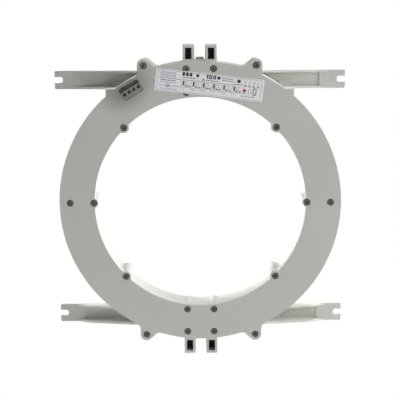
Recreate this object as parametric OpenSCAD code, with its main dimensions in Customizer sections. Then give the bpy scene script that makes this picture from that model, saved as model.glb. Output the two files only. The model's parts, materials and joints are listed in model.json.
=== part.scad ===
// Residual-current transformer in a ring-shaped plastic housing.
// A wound core lies in a trough-shaped rear housing under a screwed front cover.
// Conductors pass through the window; four slotted feet fix the ring to a panel.
// +X is right, +Z is up, the front faces -Y and the feet stand on the plane Y = 0.

/* [Ring] */
// Radius of the cable window in the front cover
window_r = 100; // [60:1:150]
// Width of the ring between window and outer edge
ring_w = 33.2; // [31:0.2:50]
// Depth of the ring, from the mounting plane to the front face
ring_depth = 40; // [36:1:60]
// Depth of the front cover's skirt, from the front face to the seam
cover_depth = 9; // [6:0.5:14]
// Thickness of the skirts and walls
wall = 2.2; // [1.6:0.1:3]
// Thickness of the front plate and of the rear floor
plate_t = 2.5; // [2:0.1:4]
// How far the rear housing stands out past the cover
seam_step = 0.5; // [0:0.1:1]
// How far the rear housing's window is set back from the cover's
window_step = 2.4; // [0.4:0.1:3]

/* [Screw bosses] */
// Diameter of the cover screws' shanks
screw_d = 3.5; // [2.5:0.1:4]
// Diameter of the cover screws' heads
screw_head_d = 6.2; // [5:0.1:7]
// Length of the cover screws' shanks
screw_len = 20; // [12:1:28]
// Radius of the lobes that reach into the window at 45 degrees
corner_lobe_r = 5; // [4.6:0.1:6]
// Radius of the lobes at the window's left and right
side_lobe_r = 4.4; // [4.2:0.1:6]
// Radius of the ears above and below the ring
ear_r = 5.8; // [5:0.1:7]
// How far the ears' screws lie outside the ring
ear_out = 6.1; // [4:0.1:7]
// Angle of the ears from the vertical
ear_angle = 22.1; // [18:0.1:24]
// Half the distance between the paired screws at the top and bottom
pair_x = 12.75; // [10:0.25:16]

/* [Feet] */
// How far the feet reach past the ring's sides
foot_reach = 6.3; // [2:0.1:40]
// Width of the arms
arm_w = 17.5; // [14:0.5:20]
// Drop of the upper arms' centre line below the ring's top
upper_arm_drop = 19.2; // [16:0.2:24]
// Rise of the lower arms' centre line above the ring's bottom
lower_arm_rise = 16; // [14:0.2:18]
// Thickness of the foot plates
foot_t = 3; // [2:0.1:5]
// Width of the open fixing slots
slot_w = 5.8; // [4.8:0.1:7]
// Length of the fixing slots, from the tip
slot_len = 7.8; // [6:0.1:10]
// Height of the upper arms' flanges at the ears, above the mounting plane
upper_flange_h = 12.5; // [8:0.5:20]
// Height of the lower arms' flanges at the ears, above the mounting plane
lower_flange_h = 18.5; // [10:0.5:26]
// Thickness of the arms' flanges
flange_t = 2.1; // [1.6:0.1:3]

/* [Lug sockets] */
// Width of each lug
lug_w = 10.2; // [9.6:0.1:13]
// Distance of the lugs' centres from the middle
lug_x = 10.6; // [8:0.1:14]
// How far the lugs stand out from the ring
lug_out = 14.5; // [12:0.1:20]
// Width of the socket in each lug
socket_w = 6; // [4:0.1:6.4]
// Height of the socket in each lug
socket_h = 10.6; // [8:0.1:11]
// Depth of the open part of each socket
socket_depth = 10; // [6:0.5:20]

/* [Terminals] */
// Angle of the terminal row around the ring, from +X
term_angle = 121; // [112:1:128]
// Distance between neighbouring terminals
term_pitch = 5; // [5:0.1:5.6]
// Distance of the terminal screws from the ring's outer edge
term_edge = 9.6; // [9:0.1:11]
// Diameter of the clamp screws' shanks
clamp_screw_d = 2.4; // [2:0.1:2.6]
// Advance of the clamp screws for one turn
clamp_lead = 0.45; // [0.35:0.05:0.5]

/* [Wound core] */
// Height of the wrapped coil ring
coil_h = 17.5; // [12:0.5:18]
// Thickness of the outer tape
wrap_t = 0.4; // [0.3:0.1:0.6]
// Build-up of the secondary winding
winding_t = 0.9; // [0.5:0.1:1.2]
// Wall of the core's plastic case
case_t = 0.8; // [0.6:0.1:1]
// Thickness of the foam ring behind the coil
rear_pad_t = 3; // [2:0.5:4]
// Thickness of the foam ring in front of the coil
front_pad_t = 1.5; // [1:0.5:3]

/* [Label] */
// Width of the label
label_w = 101; // [60:1:110]
// Height of the label
label_h = 20.5; // [14:0.5:22]
// Tilt of the label
label_tilt = -6.6; // [-10:0.1:0]

/* [Hidden] */
$fn = 96;

shell_grey = [0.66, 0.66, 0.63];
steel_grey = [0.35, 0.35, 0.35];
zinc = [0.75, 0.75, 0.72];
copper = [0.72, 0.42, 0.22];

eps = 0.01;
gap = 0.1;
// Depth by which a fillet runs into the two edges that it joins.
bite = 0.03;
outer_r = window_r + ring_w;
seam_z = ring_depth - cover_depth;
plate_z = ring_depth - plate_t;
// The cover's tongue fits inside the rear housing's outer wall.
tongue_r = outer_r + seam_step - wall - 0.2;

// Cover screws: recessed heads on pads under the front plate.
head_h = 2;
head_sink = 0.2;
head_clear = 0.4;
pad_h = 2;
boss_r = screw_d / 2 + 1.75;
boss_top = plate_z - pad_h;
hole_clear = 0.1;
lobe_out = 1.1;
ear_c = (outer_r + ear_out) * [sin(ear_angle), cos(ear_angle)];
pair_in_y = window_r + 4.1;
pair_out_y = outer_r - 7.15;
side_in_x = window_r + 1;
side_out_x = outer_r - 9.9;
corner_c = (window_r + lobe_out) * [cos(45), sin(45)];
quadrants = [for (sx = [-1, 1], sy = [-1, 1]) [sx, sy]];
ear_points = [for (q = quadrants) [q.x * ear_c.x, q.y * ear_c.y]];
corner_points = [for (q = quadrants) [q.x * corner_c.x, q.y * corner_c.y]];
pair_points = [for (q = quadrants, y = [pair_in_y, pair_out_y]) [q.x * pair_x, q.y * y]];
side_points = [for (sx = [-1, 1], x = [side_in_x, side_out_x]) [sx * x, 0]];
screw_points = concat(ear_points, corner_points, pair_points, side_points);

// Arms and feet, each described from its tip (u = 0) towards the middle.
upper_arm_y = outer_r - upper_arm_drop;
lower_arm_y = -(outer_r - lower_arm_rise);
tip_x = outer_r + foot_reach;
upper_flange = [slot_len + 1.7, 0, upper_flange_h];
lower_flange = [slot_len + 7.2, 5, lower_flange_h];
flange_bend = 17;
flange_to = tip_x - ear_c.x - ear_r;
floor_step_at = 24.5;
floor_t = 2.3;
arm_pad_at = 56;
arm_pad = [7.4, 5, 3];
tip_corner_r = 1.5;
slot_corner_r = 2.25;
web_drop = 5;
web_x = sqrt(pow(outer_r, 2) - pow(upper_arm_y - arm_w / 2 - web_drop, 2));
corner_fillet_r = 3;
ear_fillet_r = 5;
lower_ear_fillet_r = 6.5;

// Lug sockets.
lug_y = outer_r + lug_out;
lug_end_wall = 2.3;
socket_y = lug_y - lug_end_wall - socket_h / 2;

// Coil ring: it lies between the inner and the outer screw bosses.
coil_in_r = norm([pair_x, pair_in_y]) + boss_r + 1;
coil_out_r = side_out_x - boss_r - 1.4;
coil_z = plate_t + rear_pad_t;
coil_top = coil_z + coil_h;
pad_top = coil_top + front_pad_t + gap;
wind_in_r = coil_in_r + wrap_t;
wind_out_r = coil_out_r - wrap_t;
case_in_r = wind_in_r + winding_t + gap;
case_out_r = wind_out_r - winding_t - gap;
case_z = coil_z + wrap_t + winding_t + gap;
case_top = coil_top - wrap_t - winding_t - gap;
core_slack = 0.3;
wrap_open = 8.5;
winding_open = 6.2;

// Terminal row in its own frame: x is radial, y runs along the row, z to the front.
ways = 4;
row_r = outer_r - term_edge;
row_y = [for (i = [0 : ways - 1]) (i - (ways - 1) / 2) * term_pitch];
block_in_r = row_r - 4.9;
block_out_r = row_r + 2.9;
block_half = ways * term_pitch / 2 + 0.3;
block_clear = 0.2;
dimple_r = row_r - 2.5;
dimple_d = 1.3;
dimple_depth = 0.8;
divider = [1.6, 0.8];
board_z = 24;
board_t = 1.6;
board_top = board_z + board_t;
board_in_r = block_in_r - 0.8;
board_out_r = outer_r - 3.6;
board_half = block_half + 4.9;
post_r = 2.5;
post_c = [board_out_r - 3.1, board_half - 2.5];
block_top = ring_depth - 0.6;
pocket_in_r = block_in_r - block_clear;
pocket_out_r = outer_r - 2.6;
pocket_half = block_half + block_clear;
pocket_floor = seam_z;
pocket_wall = 1.6;
pocket_corner_r = 2;
clamp_head_d = 3.1;
clamp_head_h = 1.1;
clamp_slot_w = 0.6;
well_d = clamp_head_d + 0.3;
well_z = block_top - 1.7;
cage_w = term_pitch - 1.1;
cage_l = 4.6;
cage_side = 0.6;
cage_top_t = 1.2;
cage_foot_t = 0.8;
bar_t = 0.8;
bar_w = cage_w - 2 * cage_side - 0.4;
bar_z = block_top - 6.1;
cage_top_z = bar_z + bar_t + 0.2;
clamp_turns = 4.8;
cage_gap = clamp_turns * clamp_lead + 0.44;
cage_z = bar_z - cage_gap - cage_foot_t;
pin_r = row_r - 3.5;
pin_d = 0.9;
lead_d = 1;
sleeve_d = 1.4;
tin_d = 0.7;
lead_z = 18;
lead_bend = 1.2;
test_turns = 5;
test_step = 1.2;
test_wire_d = 0.8;
secondary_lead_angle = winding_open + 0.7;
label_c = [8.9, window_r + 11];
label_t = 0.15;

// Turns a piece drawn flat, front up, into its upright place.
module upright() { rotate([90, 0, 0]) children(); }

// The terminal row's frame.
module at_terminals() { upright() rotate([0, 0, term_angle]) children(); }

module at_points(points) { for (p = points) translate(p) children(); }

module up(z) { translate([0, 0, z]) children(); }

module slab(z, h) { up(z) linear_extrude(h) children(); }

module annulus(r_in, r_out) {
    difference() {
        circle(r_out);
        circle(r_in);
    }
}

module tube(z, h, r_in, r_out) { slab(z, h) annulus(r_in, r_out); }

// A block from one corner to the opposite one.
module block(low, high) { translate(low) cube(high - low); }

module four_ways() {
    for (q = quadrants) flip(q) children();
}

module flip(q) {
    mirror([q.x < 0 ? 1 : 0, 0]) mirror([0, q.y < 0 ? 1 : 0]) children();
}

// Fillet between a straight edge and the outside of a circle of radius r about the origin.
// The edge starts at p, runs along d and has the material on the side away from n.
module edge_fillet(p, d, n, r, fillet_r) {
    foot = p + n * (fillet_r - bite);
    reach = r + fillet_r - bite;
    along = -foot * d - sqrt(pow(foot * d, 2) - foot * foot + pow(reach, 2));
    c = foot + d * along;
    difference() {
        polygon([c - n * (fillet_r + 2), c, c * (r - 2) / reach]);
        translate(c) circle(fillet_r);
    }
}

// Fillets between a lobe and the window that it stands in, on both sides of the lobe.
module lobe_fillets(lobe_c, lobe_r, window, fillet_r) {
    reach = window - fillet_r + bite;
    spread = acos((pow(reach, 2) + lobe_c * lobe_c - pow(lobe_r + fillet_r - bite, 2))
                  / (2 * reach * norm(lobe_c)));
    middle = atan2(lobe_c.y, lobe_c.x);
    for (side = [-1, 1]) {
        c = reach * [cos(middle + side * spread), sin(middle + side * spread)];
        difference() {
            polygon([lobe_c * (window + 2) / norm(lobe_c), lobe_c, c, c * (window + 2) / reach]);
            translate(c) circle(fillet_r);
        }
    }
}

// An ear: a round lobe with an upright outer side and a slanted inner side.
module ear_2d(grow) {
    slant = [-0.75, -0.66];
    normal = [-0.66, 0.75];
    r = ear_r + grow;
    edge = ear_c + normal * r;
    translate(ear_c) circle(r);
    translate([ear_c.x, upper_arm_y]) square([r, ear_c.y - upper_arm_y]);
    polygon([ear_c, edge, edge + slant * 12, [ear_c.x - 14, outer_r - 14], [ear_c.x, outer_r - 14]]);
    edge_fillet(edge, slant, normal, outer_r + grow, ear_fillet_r);
}

// The corner between an upper arm and the ring, filled flush with the front.
module web_2d(grow) {
    y = upper_arm_y - arm_w / 2;
    polygon([[web_x + grow, y - web_drop], [web_x + grow, y + flange_t],
             [web_x - 12, y + flange_t], [web_x - 8, y - 10]]);
}

module lugs_2d(grow) {
    for (sx = [-1, 1], sy = [-1, 1]) {
        low = sy > 0 ? outer_r - wall : -lug_y - grow;
        translate([sx * lug_x - lug_w / 2 - grow / 2, low])
            square([lug_w + grow, lug_y - outer_r + wall + grow]);
    }
}

// Outer edge of a shell; grow moves it outwards.
module outline_2d(grow) {
    circle(outer_r + grow);
    four_ways() ear_2d(grow);
    for (sx = [-1, 1]) flip([sx, 1]) web_2d(grow);
    for (sx = [-1, 1]) flip([sx, -1])
        edge_fillet([ear_c.x + ear_r + grow, ear_c.y], [0, -1], [1, 0], outer_r + grow, lower_ear_fillet_r);
    lugs_2d(grow);
}

// Solid round the screws that border the window of the given radius.
module lobes_2d(window) {
    for (p = corner_points) {
        translate(p) circle(corner_lobe_r);
        lobe_fillets(p, corner_lobe_r, window, 3);
    }
    for (sx = [-1, 1]) {
        translate([sx * side_in_x, 0]) circle(side_lobe_r);
        lobe_fillets([sx * side_in_x, 0], side_lobe_r, window, 3);
    }
}

module window_2d(window) {
    difference() {
        circle(window);
        lobes_2d(window);
    }
}

module sockets_2d(slack) {
    for (q = quadrants)
        translate([q.x * lug_x, q.y * socket_y])
            square([socket_w + slack, socket_h + slack], center = true);
}

module pocket_2d(grow) {
    r = pocket_corner_r + grow;
    low = [pocket_in_r - grow, -pocket_half - grow];
    size = [pocket_out_r - pocket_in_r + 2 * grow, 2 * (pocket_half + grow)];
    for (cx = [r, size.x - r], cy = [r, size.y - r]) translate(low + [cx, cy]) circle(r);
    translate(low + [r, 0]) square([size.x - 2 * r, size.y]);
    translate(low + [0, r]) square([size.x, size.y - 2 * r]);
}

// Height of a flange above the mounting plane, at distance u from the arm's tip.
// The flange is given as where it starts, its rise over the bend and its height at the ear.
function flange_z(u, flange) =
    let (v = max(u - flange[0], 0), t = min(v / flange_bend, 1),
         slope = (flange[2] - foot_t - flange[1]) / (flange_to - flange[0] - flange_bend / 2))
    foot_t + flange[1] * t * t * (3 - 2 * t) + slope * (v - flange_bend * (t - t * t / 2));

module flange_wall(y, length, flange) {
    steps = 10;
    us = [for (i = [0 : steps]) flange[0] + flange_bend * i / steps];
    translate([0, y + flange_t, 0]) rotate([90, 0, 0]) linear_extrude(flange_t)
        polygon(concat([[0, 0], [0, foot_t]], [for (u = us) [u, flange_z(u, flange)]],
                       [[length, flange_z(length, flange)], [length, 0]]));
}

// An arm along +X from its tip at the origin, with its centre line on y = 0.
module arm(length, flange, padded) {
    half = arm_w / 2;
    difference() {
        union() {
            block([tip_corner_r, -half, 0], [floor_step_at, half, foot_t]);
            block([0, -half + tip_corner_r, 0], [tip_corner_r + eps, half - tip_corner_r, foot_t]);
            for (s = [-1, 1]) translate([tip_corner_r, s * (half - tip_corner_r), 0])
                cylinder(r = tip_corner_r, h = foot_t);
            block([floor_step_at - eps, -half, 0], [length, half, floor_t]);
            for (y = [-half, half - flange_t]) translate([tip_corner_r, 0, 0])
                intersection() {
                    translate([-tip_corner_r, 0, 0]) flange_wall(y, length, flange);
                    block([0, -half, 0], [length, half, ring_depth]);
                }
            if (padded) block([arm_pad_at, -half, 0],
                              [arm_pad_at + arm_pad.x, -half + flange_t + arm_pad.y, floor_t + arm_pad.z]);
        }
        block([-1, -slot_w / 2, -1], [slot_len - slot_corner_r, slot_w / 2, foot_t + 1]);
        block([0, -slot_w / 2 + slot_corner_r, -1], [slot_len, slot_w / 2 - slot_corner_r, foot_t + 1]);
        for (s = [-1, 1])
            translate([slot_len - slot_corner_r, s * (slot_w / 2 - slot_corner_r), -1])
                cylinder(r = slot_corner_r, h = foot_t + 2);
    }
}

// Concave corner between two upright walls of height h, at the origin, opening to +X -Y.
module corner_fillet(h) {
    difference() {
        block([-1, -corner_fillet_r, 0], [corner_fillet_r, 1, h]);
        translate([corner_fillet_r, -corner_fillet_r, -1]) cylinder(r = corner_fillet_r, h = h + 2);
    }
}

module arms() {
    length = tip_x - 40;
    for (sx = [-1, 1]) mirror_x(sx) {
        translate([tip_x, upper_arm_y, 0]) mirror([1, 0, 0]) arm(length, upper_flange, true);
        translate([tip_x, lower_arm_y, 0]) mirror([1, 0, 0]) arm(length, lower_flange, false);
        translate([web_x + seam_step, upper_arm_y - arm_w / 2, 0])
            corner_fillet(flange_z(tip_x - web_x, upper_flange) - 0.6);
    }
}

module mirror_x(sx) { mirror([sx < 0 ? 1 : 0, 0, 0]) children(); }

module board_posts() {
    for (s = [-1, 1]) translate([post_c.x, s * post_c.y, 0]) cylinder(r = post_r, h = board_z);
}

// Fins on the outer wall that centre the coil.
module centring_fins() {
    for (i = [0 : 11]) rotate([0, 0, 15 + 30 * i])
        block([coil_out_r + 0.3, -0.7, 0], [outer_r - wall / 2, 0.7, coil_z + coil_h / 2]);
}

module rear_housing() {
    back_window = window_r + window_step;
    color(shell_grey) upright() difference() {
        union() {
            difference() {
                union() {
                    slab(0, seam_z) difference() {
                        outline_2d(seam_step);
                        circle(back_window);
                    }
                    arms();
                    block([-3.8, outer_r - wall, 0], [3.8, outer_r + 2.6, seam_z / 2]);
                }
                tube(plate_t, ring_depth, back_window + wall, outer_r + seam_step - wall);
            }
            slab(0, seam_z) lobes_2d(back_window);
            slab(0, boss_top) at_points(corner_points) circle(boss_r);
            slab(0, boss_top) at_points(pair_points) circle(boss_r);
            slab(0, boss_top) at_points(side_points) circle(boss_r);
            slab(0, boss_top) at_points(ear_points) circle(boss_r);
            intersection() {
                centring_fins();
                slab(0, ring_depth) circle(outer_r);
            }
            rotate([0, 0, term_angle]) board_posts();
            for (sx = [-1, 1]) mirror_x(sx)
                block([side_out_x, -0.8, 0], [outer_r - wall / 2, 0.8, seam_z - 6]);
        }
        slab(boss_top - screw_len + pad_h, ring_depth) at_points(screw_points)
            circle(screw_d / 2 + hole_clear);
        slab(plate_t, ring_depth) sockets_2d(0);
        rotate([0, 0, term_angle]) for (s = [-1, 1])
            translate([post_c.x, s * post_c.y, board_z - 8]) cylinder(d = 2.2, h = 9);
    }
}

module front_cover() {
    color(shell_grey) upright() difference() {
        union() {
            slab(plate_z, plate_t) outline_2d(0);
            slab(seam_z, cover_depth) difference() {
                outline_2d(0);
                annulus(window_r + wall, outer_r - wall);
            }
            slab(seam_z, cover_depth) lobes_2d(window_r);
            tube(seam_z - 2, cover_depth, tongue_r - 1.5, tongue_r);
            slab(boss_top, pad_h + eps) at_points(concat(pair_points, side_points, corner_points))
                circle(boss_r + 0.8);
            tube(pad_top, plate_z - pad_top + eps,
                 (coil_in_r + coil_out_r) / 2 - 0.9, (coil_in_r + coil_out_r) / 2 + 0.9);
            intersection() {
                rotate([0, 0, term_angle]) slab(pocket_floor - pocket_wall, ring_depth - pocket_floor)
                    pocket_2d(pocket_wall);
                slab(0, ring_depth) circle(tongue_r);
            }
        }
        slab(0, ring_depth + 1) window_2d(window_r);
        slab(0, ring_depth + 1) at_points(screw_points) circle(screw_d / 2 + 0.3);
        slab(ring_depth - head_h - head_sink, ring_depth) at_points(screw_points)
            circle((screw_head_d + head_clear) / 2);
        slab(0, boss_top) at_points(screw_points) circle(boss_r + 0.2);
        slab(0, ring_depth + 1) sockets_2d(0);
        rotate([0, 0, term_angle]) {
            slab(pocket_floor, ring_depth) pocket_2d(0);
            block([block_in_r - block_clear, -block_half - block_clear, 0],
                  [block_out_r + block_clear, block_half + block_clear, ring_depth]);
        }
    }
}

// One cover screw, seated with its head in the cover and a cross recess.
module cover_screw() {
    top = ring_depth - head_sink;
    difference() {
        union() {
            up(top - head_h) cylinder(d = screw_head_d, h = head_h);
            up(top - head_h - screw_len) cylinder(d = screw_d, h = screw_len + eps);
        }
        for (turn = [0, 90]) up(top - 1) rotate([0, 0, turn + 25])
            block([-1.7, -0.4, 0], [1.7, 0.4, 2]);
    }
}

module cover_screws() {
    color(steel_grey) upright() at_points(screw_points) cover_screw();
}

module lug_insert(i) {
    q = quadrants[i - 1];
    color([0.06, 0.06, 0.06]) upright()
        translate([q.x * lug_x, q.y * socket_y, plate_t])
            difference() {
                translate([0, 0, (ring_depth - plate_t - socket_depth) / 2])
                    cube([socket_w - 0.2, socket_h - 0.2, ring_depth - plate_t - socket_depth],
                         center = true);
                up(ring_depth - plate_t - socket_depth - 4)
                    block([-1.1, -3, 0], [1.1, 3, 5]);
            }
}

module core() {
    color([0.55, 0.56, 0.58]) upright()
        tube(case_z + case_t, case_top - case_z - 2 * case_t - core_slack,
             case_in_r + case_t + core_slack, case_out_r - case_t - core_slack);
}

module core_tray() {
    color([0.85, 0.83, 0.75]) upright() difference() {
        tube(case_z, case_top - case_z - case_t, case_in_r, case_out_r);
        tube(case_z + case_t, coil_h, case_in_r + case_t, case_out_r - case_t);
    }
}

module core_lid() {
    color([0.85, 0.83, 0.75]) upright() tube(case_top - case_t, case_t, case_in_r, case_out_r);
}

// A closed wrap of the given thickness, open by the given angle at the terminals.
module wrap_shell(in_r, out_r, low, high, t, open) {
    upright() rotate([0, 0, term_angle + open]) rotate_extrude(angle = 360 - 2 * open)
        difference() {
            translate([in_r, low]) square([out_r - in_r, high - low]);
            translate([in_r + t, low + t]) square([out_r - in_r - 2 * t, high - low - 2 * t]);
        }
}

module secondary_winding() {
    color(copper) wrap_shell(wind_in_r, wind_out_r, coil_z + wrap_t, coil_top - wrap_t,
                             winding_t, winding_open);
}

module insulation_wrap() {
    color([0.86, 0.78, 0.45]) wrap_shell(coil_in_r, coil_out_r, coil_z, coil_top,
                                         wrap_t - 0.05, wrap_open);
}

// A few turns for the test current, in the gap of the secondary winding.
module test_winding() {
    far = test_wire_d + gap / 2;
    size = [case_out_r - case_in_r + 2 * far, case_top - case_z + 2 * far];
    color(copper) at_terminals() {
        for (i = [0 : test_turns - 1]) rotate([0, 0, (i - (test_turns - 1) / 2) * test_step])
            translate([case_in_r - far, test_wire_d / 2, case_z - far])
                rotate([90, 0, 0]) linear_extrude(test_wire_d) difference() {
                    square(size);
                    translate([test_wire_d, test_wire_d]) square(size - 2 * [test_wire_d, test_wire_d]);
                }
        reach = (test_turns - 1) / 2 * test_step;
        rotate([0, 0, -reach]) rotate_extrude(angle = 2 * reach)
            translate([case_out_r + far - test_wire_d, case_top + gap / 2])
                square([test_wire_d, test_wire_d]);
    }
}

module rear_pad() {
    color([0.2, 0.2, 0.2]) upright() tube(plate_t, rear_pad_t, coil_in_r + 0.4, coil_out_r - 0.4);
}

module front_pad() {
    color([0.2, 0.2, 0.2]) upright()
        tube(coil_top + gap / 2, front_pad_t, coil_in_r + 0.6, board_in_r - 0.6);
}

module circuit_board() {
    color([0.15, 0.35, 0.2]) at_terminals() difference() {
        block([board_in_r, -board_half, board_z], [board_out_r, board_half, board_top]);
        for (s = [-1, 1]) translate([post_c.x, s * post_c.y, board_z - 1]) cylinder(d = 2.6, h = 4);
        for (y = row_y) translate([pin_r, y, board_z - 1]) cylinder(d = pin_d + 0.2, h = 4);
    }
}

module board_screws() {
    color(zinc) at_terminals() for (s = [-1, 1])
        translate([post_c.x, s * post_c.y, 0]) {
            up(board_top) cylinder(d = 4, h = 1.4);
            up(board_top - 7) cylinder(d = 2, h = 7 + eps);
        }
}

// Clips the voltage of an open secondary; it lies between two solder pads.
module suppressor_diode() {
    color([0.12, 0.12, 0.12]) at_terminals()
        translate([row_r - 1, 0, board_z - 2.4]) {
            translate([0, 2.4, 1.2]) rotate([90, 0, 0]) cylinder(d = 2.4, h = 4.8);
            for (s = [-1, 1]) block([-0.3, s * 3.4 - 1.1, 0.9], [0.3, s * 3.4 + 1.1, 1.5]);
            for (s = [-1, 1]) block([-0.3, s * 4.2 - 0.3, 0.9], [0.3, s * 4.2 + 0.3, 2.4]);
        }
}

module terminal_block() {
    cavity_half = cage_w / 2 + gap;
    between = [for (i = [1 : ways - 1]) (row_y[i - 1] + row_y[i]) / 2];
    color([0.7, 0.7, 0.67]) at_terminals() difference() {
        union() {
            block([block_in_r, -block_half, board_top], [block_out_r, block_half, block_top]);
            for (y = between)
                block([block_out_r - eps, y - divider.y / 2, pocket_floor + gap],
                      [block_out_r + divider.x, y + divider.y / 2, block_top - 0.8]);
        }
        for (y = between) translate([dimple_r, y, block_top - dimple_depth])
            cylinder(d = dimple_d, h = 2 * dimple_depth);
        for (y = row_y) translate([0, y, 0]) {
            translate([row_r, 0, well_z - eps]) cylinder(d = well_d, h = 5);
            block([row_r - cage_l / 2 - gap, -cavity_half, cage_z - gap],
                  [row_r + cage_l / 2 + gap, cavity_half, well_z]);
            block([row_r, -cage_w / 2 + 0.5, max(cage_z + cage_foot_t, pocket_floor)],
                  [block_out_r + 1, cage_w / 2 - 0.5, bar_z]);
            block([pin_r - pin_d / 2 - 0.2, -bar_w / 2 - 0.1, board_top - 1],
                  [row_r, bar_w / 2 + 0.1, bar_z + bar_t + 0.1]);
        }
    }
}

// Fixed bars that the conductors are pressed against, each with a pin in the board.
module contact_bars() {
    color(zinc) at_terminals() for (y = row_y) translate([0, y, 0]) {
        block([pin_r - pin_d / 2, -bar_w / 2, bar_z], [row_r + cage_l / 2 - 0.3, bar_w / 2, bar_z + bar_t]);
        translate([pin_r, 0, board_z - 0.8]) cylinder(d = pin_d, h = bar_z - board_z + 0.8 + eps);
    }
}

module terminal_screw(i) {
    head_z = well_z + 0.1;
    tip_z = bar_z + bar_t + 0.05;
    color(steel_grey) at_terminals() translate([row_r, row_y[i - 1], 0]) difference() {
        union() {
            up(head_z) cylinder(d = clamp_head_d, h = clamp_head_h);
            up(tip_z) cylinder(d = clamp_screw_d, h = head_z - tip_z + eps);
        }
        up(head_z + clamp_head_h - 0.7) rotate([0, 0, 20 + 35 * i])
            block([-3, -clamp_slot_w / 2, 0], [3, clamp_slot_w / 2, 2]);
    }
}

// Rising cage: the screw draws it towards the front and it lifts the wire to the bar.
module clamp_cage(i) {
    half = cage_w / 2;
    top = cage_top_z + cage_top_t;
    color(zinc) at_terminals() translate([row_r, row_y[i - 1], 0]) difference() {
        block([-cage_l / 2, -half, cage_z], [cage_l / 2, half, top]);
        block([-cage_l, -half + cage_side, cage_z + cage_foot_t], [cage_l, half - cage_side, cage_top_z]);
        up(cage_top_z - 1) cylinder(d = clamp_screw_d + 0.1, h = cage_top_t + 2);
    }
}

// A short sleeved wire from the coil's outer side, with its tinned end at the back of the board.
module lead(from_r) {
    bend_r = board_in_r + 1.5;
    bend_z = lead_z + lead_bend;
    translate([from_r, 0, lead_z]) rotate([0, 90, 0]) cylinder(d = sleeve_d, h = bend_r + 0.3 - from_r);
    translate([bend_r, 0, bend_z]) rotate([90, 0, 0]) rotate([0, 0, -90])
        rotate_extrude(angle = 90) translate([lead_bend, 0]) circle(d = lead_d);
    translate([bend_r + lead_bend, 0, bend_z - 0.3]) cylinder(d = tin_d, h = board_z - bend_z + 0.3);
}

module lead_pair(side_y, from_r) {
    at_terminals() for (s = [-1, 1]) translate([0, s * side_y, 0]) lead(from_r);
}

module secondary_leads() {
    side_y = wind_out_r * sin(secondary_lead_angle);
    color([0.1, 0.1, 0.1]) lead_pair(side_y, wind_out_r * cos(secondary_lead_angle) + gap);
}

module test_leads() {
    turn = (test_turns - 1) / 2 * test_step;
    out_r = case_out_r + test_wire_d + gap / 2;
    color([0.75, 0.75, 0.7]) lead_pair(out_r * sin(turn), out_r * cos(turn) + gap / 2);
}

module label() {
    color([0.85, 0.85, 0.85]) upright() translate([label_c.x, label_c.y, ring_depth])
        rotate([0, 0, label_tilt]) slab(0, label_t) square([label_w, label_h], center = true);
}

rear_housing();
front_cover();
cover_screws();
lug_insert(1);  // lug_insert_1
lug_insert(2);  // lug_insert_2
lug_insert(3);  // lug_insert_3
lug_insert(4);  // lug_insert_4
core();
core_tray();
core_lid();
secondary_winding();
test_winding();
insulation_wrap();
rear_pad();
front_pad();
circuit_board();
board_screws();
suppressor_diode();
terminal_block();
contact_bars();
terminal_screw(1);  // terminal_screw_1
terminal_screw(2);  // terminal_screw_2
terminal_screw(3);  // terminal_screw_3
terminal_screw(4);  // terminal_screw_4
clamp_cage(1);  // clamp_cage_1
clamp_cage(2);  // clamp_cage_2
clamp_cage(3);  // clamp_cage_3
clamp_cage(4);  // clamp_cage_4
secondary_leads();
test_leads();
label();
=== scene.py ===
"""Looks of a ring-type current transformer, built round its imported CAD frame."""
from __future__ import annotations

import json
import logging
import math
from dataclasses import dataclass, field
from enum import Enum
from typing import Callable, ClassVar, Iterable, Sequence

import bmesh
import bpy
from mathutils import Matrix, Vector

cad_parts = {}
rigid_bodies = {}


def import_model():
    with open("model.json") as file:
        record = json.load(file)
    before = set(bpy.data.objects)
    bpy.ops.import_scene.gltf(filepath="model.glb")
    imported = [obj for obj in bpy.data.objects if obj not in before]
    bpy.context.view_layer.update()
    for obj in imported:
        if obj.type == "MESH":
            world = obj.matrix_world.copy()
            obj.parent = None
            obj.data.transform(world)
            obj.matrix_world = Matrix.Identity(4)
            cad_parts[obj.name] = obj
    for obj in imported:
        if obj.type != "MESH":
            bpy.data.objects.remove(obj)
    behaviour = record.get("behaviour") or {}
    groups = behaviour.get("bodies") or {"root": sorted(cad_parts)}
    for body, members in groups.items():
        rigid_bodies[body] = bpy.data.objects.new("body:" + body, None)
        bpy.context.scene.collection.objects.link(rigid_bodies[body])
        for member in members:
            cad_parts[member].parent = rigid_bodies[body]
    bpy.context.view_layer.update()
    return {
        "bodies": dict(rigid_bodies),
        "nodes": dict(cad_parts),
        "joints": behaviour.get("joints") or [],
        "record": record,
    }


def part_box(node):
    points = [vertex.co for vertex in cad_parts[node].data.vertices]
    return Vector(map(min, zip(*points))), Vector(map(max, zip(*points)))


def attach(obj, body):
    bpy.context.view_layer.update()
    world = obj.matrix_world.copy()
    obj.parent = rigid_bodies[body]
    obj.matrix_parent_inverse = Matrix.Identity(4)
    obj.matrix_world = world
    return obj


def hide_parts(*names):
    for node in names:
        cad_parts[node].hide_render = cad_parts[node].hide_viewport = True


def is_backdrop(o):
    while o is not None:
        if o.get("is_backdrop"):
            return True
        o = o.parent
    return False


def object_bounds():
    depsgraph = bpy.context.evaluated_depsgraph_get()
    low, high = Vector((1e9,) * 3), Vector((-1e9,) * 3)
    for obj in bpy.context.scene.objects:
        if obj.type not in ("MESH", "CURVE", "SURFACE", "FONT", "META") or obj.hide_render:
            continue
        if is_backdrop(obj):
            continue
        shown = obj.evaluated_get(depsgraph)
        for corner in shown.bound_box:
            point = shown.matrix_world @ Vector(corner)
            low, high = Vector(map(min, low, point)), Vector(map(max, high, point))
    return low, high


LOG = logging.getLogger("transformer")
MM = 0.001
FRONT = Vector((0.0, -1.0, 0.0))


class Drive(Enum):
    """The kind of recess in a screw's head."""

    CROSS = "cross"
    SLOT = "slot"


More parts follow.
